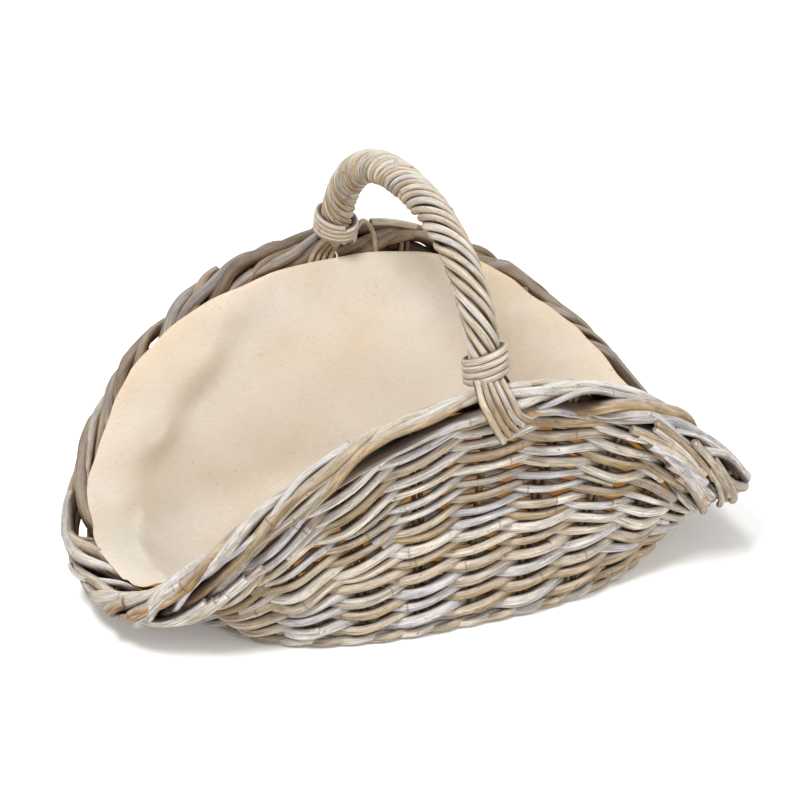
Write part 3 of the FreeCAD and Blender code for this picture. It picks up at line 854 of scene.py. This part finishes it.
# one thin tail curls up and over the far border
curl = bend_through([
    (0.019, -foot[1] - 0.004, foot[2] + 0.005),
    (0.030, -foot[1], foot[2] + 0.0125),
    (0.039, -foot[1] - 0.0005, foot[2] + 0.001),
    (0.0425, -foot[1] - 0.0005, foot[2] - 0.020),
    (0.043, -foot[1] - 0.0005, foot[2] - 0.038),
])
lay_rods("handle_loose_tail", [rod(curl, 0.0024, 0.6, 0.6, 0.05)], ["handle_curl_back"])


# ---------------------------------------------------------------- liner
# A loose bag of unbleached calico, one cloth thick, that stands inside the wall and lies on
# the base. It's cut to shape, so it only creases softly in the corners and under the edge.
LINER_IN = 0.0195
LINER_FLOOR = 0.0312
CLOTH_THICK = 0.0008
GIRTH = 1.55                               # about how far it is round the wall
# how far the cloth's edge stands above the rim line, as degrees round and millimetres
EDGE_RISE = (
    (0, -3), (15, -2), (30, 0), (38, 4), (46, 5), (55, 1), (62, 2.5), (70, 1.6), (77, -4),
    (90, -10), (94, -7),
    (101, -2.5), (109, 4), (118, 11), (126, 15), (135, 10), (145, 8), (154, 5), (165, -3.5), (177, -5),
    (190, -3), (205, -5), (220, -6), (250, -8), (270, -10), (300, -8), (320, -6), (340, -4), (360, -3),
)
# each fold: from angle and height share, to angle and height share, width and depth in mm
FOLDS = (
    (101, 0.98, 114, 0.84, 20, 6.0), (114, 0.84, 132, 0.78, 24, 9.0), (132, 0.78, 152, 0.72, 22, 8.0),
    (104, 0.80, 118, 0.66, 16, -2.6), (118, 0.66, 140, 0.62, 18, -3.2),
    (157, 0.52, 166, 0.44, 6, 2.6), (166, 0.44, 179, 0.53, 6, 2.6), (94, 0.99, 97, 0.80, 26, 2.6),
    (60, 0.86, 56, 0.50, 6, 5.5), (66, 0.95, 64, 0.55, 7, -2.5), (55, 0.99, 46, 0.78, 8, 4.5),
    (40, 0.97, 34, 0.70, 9, 3.5), (92, 0.98, 92, 0.86, 5, 2.2), (98, 0.99, 99, 0.86, 5, 2.6),
    (105, 0.99, 106, 0.90, 4, 2.0), (84, 0.98, 86, 0.80, 8, 2.0), (76, 0.98, 79, 0.70, 10, 2.4),
    (200, 0.9, 214, 0.5, 12, 4.0), (236, 0.95, 228, 0.5, 12, 4.5), (262, 0.96, 258, 0.6, 8, 3.0),
    (285, 0.96, 292, 0.55, 10, 4.0), (310, 0.95, 318, 0.5, 12, 4.5), (340, 0.9, 330, 0.5, 12, 3.5),
    (3, 0.9, 12, 0.45, 10, 3.5), (186, 0.95, 184, 0.5, 9, 3.0),
)
COLUMNS, WALL_ROWS, BEND_ROWS, FLOOR_ROWS = 320, 42, 8, 12
angle = np.arange(COLUMNS) / COLUMNS * 2 * math.pi
length = wall_curve(angle)[3]
edge = length + np.interp(np.degrees(angle), *np.array(EDGE_RISE).T) * 0.001
edge += 0.0006 * np.sin(angle * 17) + 0.0004 * np.sin(angle * 41 + 1)
wall_foot = 0.048
share = np.linspace(0, 1, WALL_ROWS)[:, None]
up = edge + (wall_foot - edge) * share
grid_angle = np.broadcast_to(angle, up.shape)
round_run = np.interp(grid_angle, table_angle, table_run) * GIRTH


def fold_depth(fold):
    """How far a fold stands in from the wall, over the whole wall."""
    ends = []
    for degrees, level in (fold[:2], fold[2:4]):
        turn = math.radians(degrees)
        ends.append((
            np.interp(turn, table_angle, table_run) * GIRTH, level * np.interp(turn, angle, length),
        ))
    (x0, y0), (x1, y1) = ends
    across = (round_run - x0 + GIRTH / 2) % GIRTH - GIRTH / 2
    dx, dy = x1 - x0, y1 - y0
    way = np.clip((across * dx + (up - y0) * dy) / (dx * dx + dy * dy), 0, 1)
    far = np.hypot(across - way * dx, up - y0 - way * dy)
    return fold[5] * 0.001 * np.exp(-(far / (fold[4] * 0.001)) ** 2)


sag = sum(fold_depth(fold) for fold in FOLDS)
sag += 0.0012 * np.sin(grid_angle * 7 + up * 30) + 0.0009 * np.sin(grid_angle * 13 - up * 55 + 2)
sag += 0.0009 * np.exp(-((edge - up) / 0.01) ** 2) * np.sin(grid_angle * 23)
low_end = np.abs(np.cos(grid_angle)) ** 6 * (1 - share)
sag = np.clip(sag, -0.0035, 0.014) - 0.0042 * low_end
wall_part = wall_point(grid_angle, up, -LINER_IN - sag)
low = wall_part[-1]
corner = wall_point(angle, np.full(COLUMNS, 0.020), -LINER_IN)
corner[:, 2] = LINER_FLOOR
inner = corner * (0.86, 0.80, 1)
b = np.linspace(0, 1, BEND_ROWS + 1)[1:, None, None]
bend_part = low * (1 - b) ** 2 + corner * 2 * b * (1 - b) + inner * b ** 2
s = np.linspace(1, 0, FLOOR_ROWS + 1)[1:-1, None, None]
floor_part = inner * np.concatenate([s, s, np.ones_like(s)], -1)
floor_part[..., 2] += 0.0008 * (1 + np.sin(floor_part[..., 0] * 60) * np.sin(floor_part[..., 1] * 70 + 1))
rings = np.concatenate([wall_part, bend_part, floor_part])
count = len(rings)
index = np.arange(count * COLUMNS).reshape(count, COLUMNS)
nxt = np.roll(index, -1, axis=1)
faces = np.stack([index[:-1], nxt[:-1], nxt[1:], index[1:]], -1).reshape(-1, 4)
centre = count * COLUMNS
fan = np.stack([index[-1], nxt[-1], np.full(COLUMNS, centre)], -1)
points = np.concatenate([rings.reshape(-1, 3), [[0, 0, LINER_FLOOR]]])


def cross_area(a, b):
    """The area of faces, from two sides of each triangle or the diagonals of each quad."""
    return 0.5 * np.linalg.norm(np.cross(a, b), axis=1).sum()


# the flat size of the cloth, measured over the finished shape
corners = points[faces]
cloth_area = cross_area(corners[:, 2] - corners[:, 0], corners[:, 3] - corners[:, 1])
corners = points[fan]
cloth_area += cross_area(corners[:, 1] - corners[:, 0], corners[:, 2] - corners[:, 0])

mesh = bpy.data.meshes.new("calico_liner")
mesh.from_pydata(points.tolist(), [], faces.tolist() + fan.tolist())
mesh.shade_smooth()
liner = bpy.data.objects.new("calico_liner", mesh)
scene.collection.objects.link(liner)
bpy.context.view_layer.objects.active = liner
shell = liner.modifiers.new("cloth", "SOLIDIFY")
shell.thickness = CLOTH_THICK
shell.offset = 0
bpy.ops.object.modifier_apply(modifier=shell.name)


def make_calico(name, glow_colour, glow_share):
    """Cream cotton, plain woven and not bleached: matt, with faint yellow patches and tiny brown
    seed specks, and thin enough for light to come through."""
    calico = new_material(name)
    place = add_node(calico, "ShaderNodeTexCoord")
    # patches about 110 mm across
    patch = add_node(
        calico, "ShaderNodeTexNoise",
        {"Vector": place.outputs["Object"], "Scale": 9.0, "Detail": 3.0, "Roughness": 0.55},
    )
    cream = add_node(
        calico, "ShaderNodeValToRGB", {"Fac": patch.outputs["Fac"]},
        stops=((0.32, "#f0e7d1"), (0.5, "#f5f0e3"), (0.68, "#f8f6ee")),
    )
    # slubs in the yarn, 6 mm long and 1 mm wide, twice the real thread so that they show
    slub_place = add_node(
        calico, "ShaderNodeMapping", {"Vector": place.outputs["Object"], "Scale": (160, 160, 900)}
    )
    slub = add_node(
        calico, "ShaderNodeTexNoise",
        {"Vector": slub_place.outputs["Vector"], "Scale": 1.0, "Detail": 2.0, "Roughness": 0.6},
    )
    slub_shade = add_node(
        calico, "ShaderNodeMapRange",
        {
            "Value": slub.outputs["Fac"], "From Min": 0.35, "From Max": 0.65,
            "To Min": 0.93, "To Max": 1.02,
        },
    )
    woven = add_node(
        calico, "ShaderNodeMix",
        {"Factor": 1.0, "A": cream.outputs["Color"], "B": slub_shade.outputs["Result"]},
        data_type="RGBA", blend_type="MULTIPLY",
    )
    # seed specks under 1 mm, a few millimetres apart at their closest
    seed_noise = add_node(
        calico, "ShaderNodeTexNoise",
        {"Vector": place.outputs["Object"], "Scale": 430.0, "Detail": 1.0, "Roughness": 0.5},
    )
    seed_mask = add_node(
        calico, "ShaderNodeMapRange",
        {
            "Value": seed_noise.outputs["Fac"], "From Min": 0.71, "From Max": 0.76,
            "To Min": 0.0, "To Max": 0.5,
        },
    )
    seeded = add_node(
        calico, "ShaderNodeMix",
        {"Factor": seed_mask.outputs["Result"], "A": woven.outputs[2], "B": shade("#a98452")},
        data_type="RGBA",
    )
    cloth_bump = add_node(
        calico, "ShaderNodeBump", {"Strength": 0.25, "Distance": 0.0004, "Height": slub.outputs["Fac"]}
    )
    cloth_shader = add_node(
        calico, "ShaderNodeBsdfPrincipled",
        {
            "Base Color": seeded.outputs[2], "Roughness": 0.95, "Specular IOR Level": 0.1,
            "Normal": cloth_bump.outputs["Normal"],
        },
    )
    glow = add_node(calico, "ShaderNodeBsdfTranslucent", {"Color": shade(glow_colour)})
    cloth_mix = add_node(
        calico, "ShaderNodeMixShader",
        {0: glow_share, 1: cloth_shader.outputs["BSDF"], 2: glow.outputs["BSDF"]},
    )
    add_node(calico, "ShaderNodeOutputMaterial", {"Surface": cloth_mix.outputs["Shader"]})
    return calico


liner.data.materials.append(make_calico("unbleached_calico", "#fbd890", 0.4))
liner.data.materials.append(make_calico("unbleached_calico_lit_through", "#ffce86", 0.52))
# Solidify's second sheet of faces is the cloth's outer side, where the gaps of the weave show
# it lit through from within
sheet_faces = len(faces) + len(fan)
material_index = np.zeros(len(liner.data.polygons), np.int32)
material_index[sheet_faces:2 * sheet_faces] = 1
liner.data.polygons.foreach_set("material_index", material_index)
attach(liner, "root")
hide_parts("liner")


# ---------------------------------------------------------------- liner tie
# A thin white cotton thread that ties the liner to the border behind the far foot, with the
# slant of its two plies showing as fine stripes.
THREAD_RADIUS = 0.0008
cotton = new_material("white_cotton_thread")
cotton_place = add_node(cotton, "ShaderNodeAttribute", attribute_name="grain")
ply = add_node(
    cotton, "ShaderNodeTexWave",
    {"Vector": cotton_place.outputs["Vector"], "Scale": 260.0, "Distortion": 1.0},
    bands_direction="DIAGONAL",
)
ply_colour = add_node(
    cotton, "ShaderNodeValToRGB", {"Fac": ply.outputs["Fac"]}, stops=((0.0, "#d8d2c6"), (1.0, "#f6f3ec"))
)
cotton_shader = add_node(
    cotton, "ShaderNodeBsdfPrincipled", {"Base Color": ply_colour.outputs["Color"], "Roughness": 0.9}
)
add_node(cotton, "ShaderNodeOutputMaterial", {"Surface": cotton_shader.outputs["BSDF"]})
tie_line = bend_through([
    (-0.001, rim_y - 0.0190, rim_z + 0.004), (0.0006, rim_y - 0.0200, rim_z - 0.001),
    (-0.0014, rim_y - 0.0204, rim_z - 0.007), (0.0004, rim_y - 0.0206, rim_z - 0.016),
])
tie = lay_rods("cotton_tie", [rod(tie_line, THREAD_RADIUS, 0.5)], ["liner_tie"])
tie.data.materials.clear()
tie.data.materials.append(cotton)
